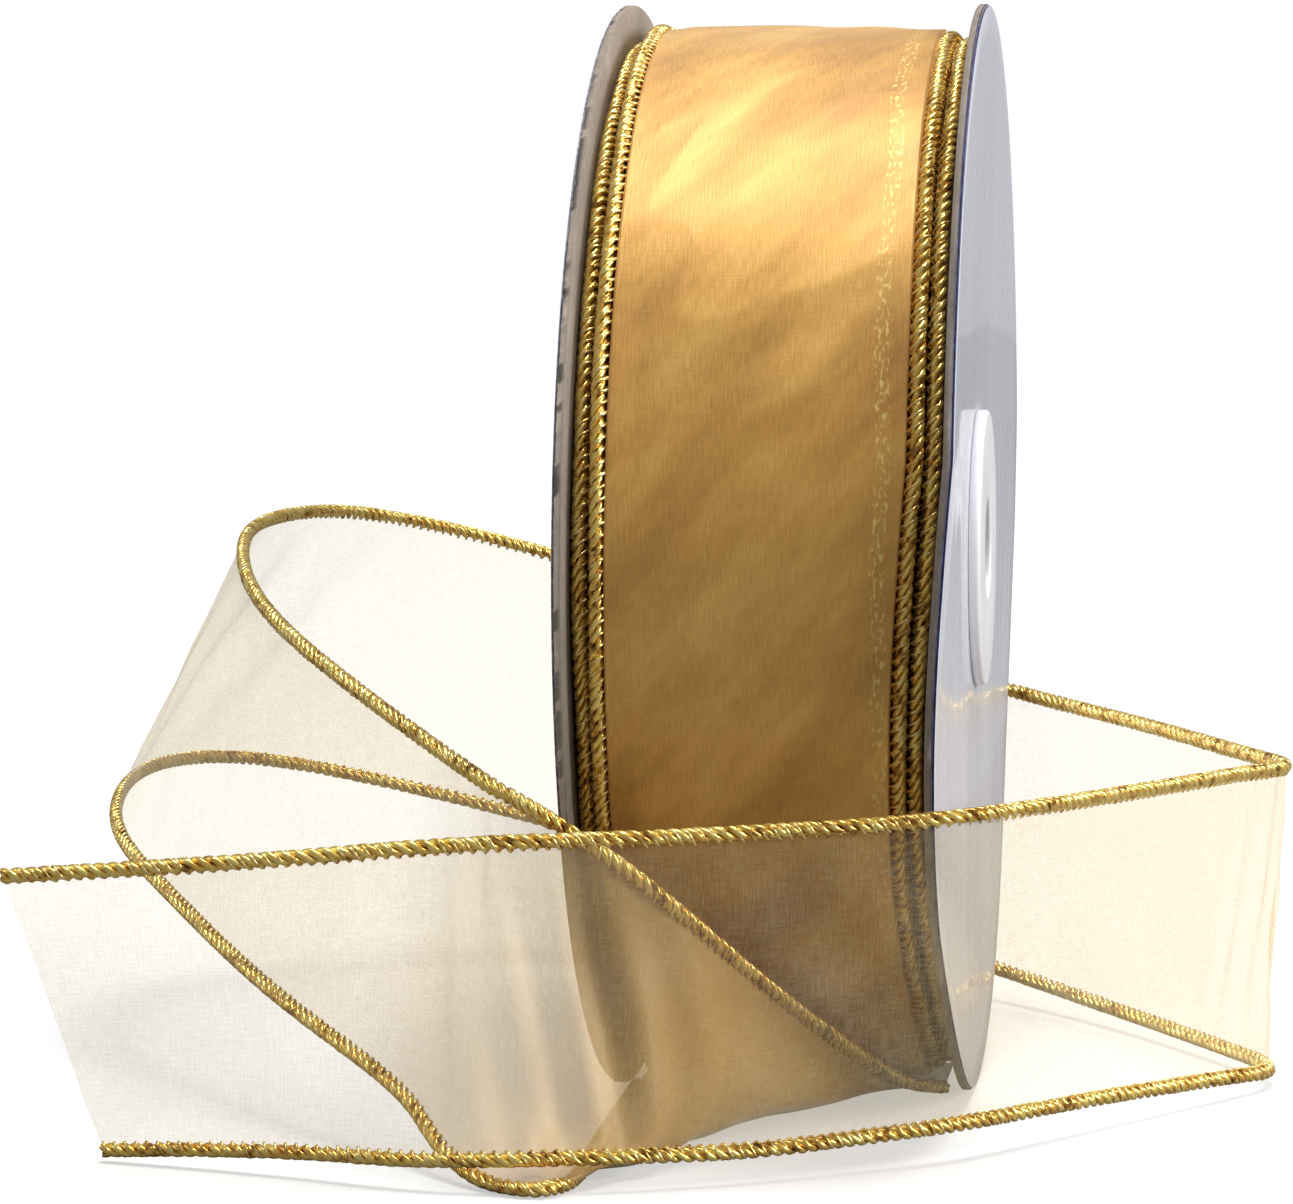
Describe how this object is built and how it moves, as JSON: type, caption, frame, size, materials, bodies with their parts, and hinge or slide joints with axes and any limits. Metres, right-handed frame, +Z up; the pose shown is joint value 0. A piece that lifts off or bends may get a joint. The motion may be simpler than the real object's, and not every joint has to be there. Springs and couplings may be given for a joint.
{
  "type": "ribbon spool",
  "caption": "Flanged card spool wound with sheer wire-edged gift ribbon, its free end drawn out and looped round the spool.",
  "frame": {"origin": "centre under the spool, on the surface that it stands on", "axes": "+X along the spool's axis towards the right-hand hub, +Z up, and the free ribbon leaves under the roll towards -Y"},
  "size_m": [0.1482, 0.1735, 0.127],
  "materials": {
    "chipboard": "matte",
    "foil_paper": "satin",
    "white_plastic": "satin",
    "clear_tape": "gloss",
    "gold_organza": "satin",
    "pale_organza": "satin",
    "gold_thread": "satin",
    "edge_wire": "satin"
  },
  "bodies": {
    "free_ribbon": {"free_top_cord": "gold_thread", "free_top_wire": "edge_wire", "free_bottom_cord": "gold_thread", "free_bottom_wire": "edge_wire", "free_web": "pale_organza"},
    "spool": {"right_flange_board": "chipboard", "right_flange_facing": "foil_paper", "right_hub": "white_plastic", "left_flange_board": "chipboard", "left_flange_facing": "foil_paper", "left_hub": "white_plastic", "core_tube": "chipboard", "start_tape": "clear_tape", "wound_web": "gold_organza", "right_outer_cord_wraps": "gold_thread", "right_inner_cord_wraps": "gold_thread", "left_outer_cord_wraps": "gold_thread", "left_inner_cord_wraps": "gold_thread"}
  },
  "joints": [
    {"name": "spool_turn", "type": "hinge", "parent": "free_ribbon", "child": "spool", "pos_m": [0, 0, 0.0635], "axis": [1, 0, 0], "continuous": true}
  ]
}
